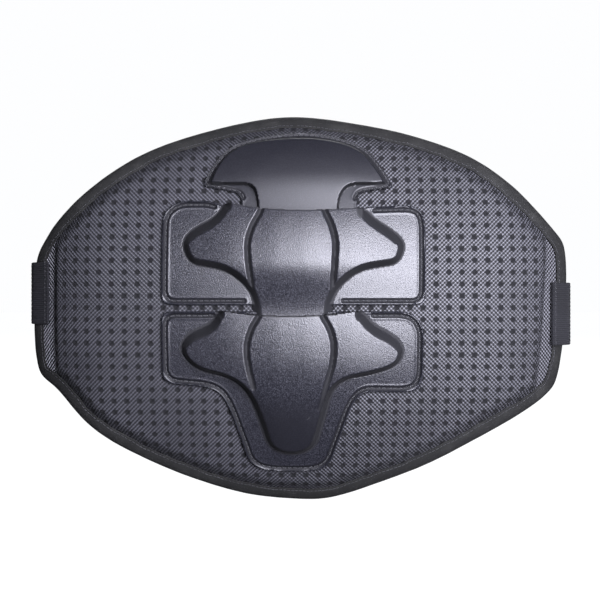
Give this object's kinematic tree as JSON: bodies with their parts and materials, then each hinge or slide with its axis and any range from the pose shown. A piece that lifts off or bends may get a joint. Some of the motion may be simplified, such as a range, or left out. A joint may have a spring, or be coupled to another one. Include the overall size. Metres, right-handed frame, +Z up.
{
  "type": "lumbar back protector",
  "caption": "Padded mesh lumbar back protector with shingled moulded plates, taped edge and elastic side straps folded behind its ends.",
  "frame": {"origin": "centre of the lining face that lies on the wearer's lower back, midway between the plates' sides and level with the ends of the panel", "axes": "+Z up towards the head, +X to the right of someone facing the plates, -Y out of the plates, +Y towards the wearer"},
  "size_m": [0.442, 0.0747, 0.3194],
  "materials": {
    "mesh_fabric": "dark grey-violet air mesh over perforated foam",
    "foam": "matt closed-cell foam",
    "lining_fabric": "black brushed knit",
    "binding_tape": "black ribbed edge tape",
    "plate_plastic": "satin moulded plastic with a fine sand texture",
    "sewing_thread": "dark grey bonded thread",
    "strap_elastic": "black ribbed woven elastic",
    "hook_and_loop": "black hook and loop tape"
  },
  "bodies": {
    "panel": {"outer_cover_centre": "mesh_fabric", "foam_core_centre": "foam", "lining_centre": "lining_fabric", "binding_top": "binding_tape", "binding_bottom": "binding_tape", "top_plate": "plate_plastic", "middle_plate": "plate_plastic", "lower_plate": "plate_plastic", "top_pod_pad": "foam", "middle_pod_pad": "foam", "lower_pod_pad": "foam", "top_plate_stitching": "sewing_thread", "middle_plate_stitching_left": "sewing_thread", "middle_plate_stitching_right": "sewing_thread", "lower_plate_stitching": "sewing_thread"},
    "wing_left": {"outer_cover_left": "mesh_fabric", "foam_core_left": "foam", "lining_left": "lining_fabric", "binding_left": "binding_tape", "strap_anchor_left": "strap_elastic", "anchor_stitching_left": "sewing_thread"},
    "wing_right": {"outer_cover_right": "mesh_fabric", "foam_core_right": "foam", "lining_right": "lining_fabric", "binding_right": "binding_tape", "strap_anchor_right": "strap_elastic", "anchor_stitching_right": "sewing_thread"},
    "strap_left": {"strap_inner_left": "strap_elastic"},
    "strap_tip_left": {"strap_outer_left": "strap_elastic", "hook_patch": "hook_and_loop"},
    "strap_right": {"strap_inner_right": "strap_elastic"},
    "strap_tip_right": {"strap_outer_right": "strap_elastic", "loop_patch": "hook_and_loop"}
  },
  "joints": [
    {"name": "wing_left_flex", "type": "hinge", "parent": "panel", "child": "wing_left", "pos_m": [-0.112, 0.0285, 0], "axis": [0, 0, -1], "range_deg": [0, 22], "stiffness_Nm_per_rad": 0.4},
    {"name": "wing_right_flex", "type": "hinge", "parent": "panel", "child": "wing_right", "pos_m": [0.112, 0.0285, 0], "axis": [0, 0, 1], "range_deg": [0, 22], "stiffness_Nm_per_rad": 0.4},
    {"name": "strap_left_unfold", "type": "hinge", "parent": "wing_left", "child": "strap_left", "pos_m": [-0.217, 0.03846, 0.0055], "axis": [0, 0, 1], "range_deg": [0, 160]},
    {"name": "strap_right_unfold", "type": "hinge", "parent": "wing_right", "child": "strap_right", "pos_m": [0.225, 0.03159, -0.011], "axis": [0, 0, -1], "range_deg": [0, 160]},
    {"name": "strap_tip_left_unfold", "type": "hinge", "parent": "strap_left", "child": "strap_tip_left", "pos_m": [-0.117, 0.00915, 0.0055], "axis": [0, 0, -1], "range_deg": [0, 172]},
    {"name": "strap_tip_right_unfold", "type": "hinge", "parent": "strap_right", "child": "strap_tip_right", "pos_m": [0.117, 0.00958, -0.011], "axis": [0, 0, 1], "range_deg": [0, 172]}
  ],
  "couplings": [
    {"joint": "strap_tip_left_unfold", "follows": "strap_left_unfold", "ratio": 1.075},
    {"joint": "strap_tip_right_unfold", "follows": "strap_right_unfold", "ratio": 1.075}
  ]
}
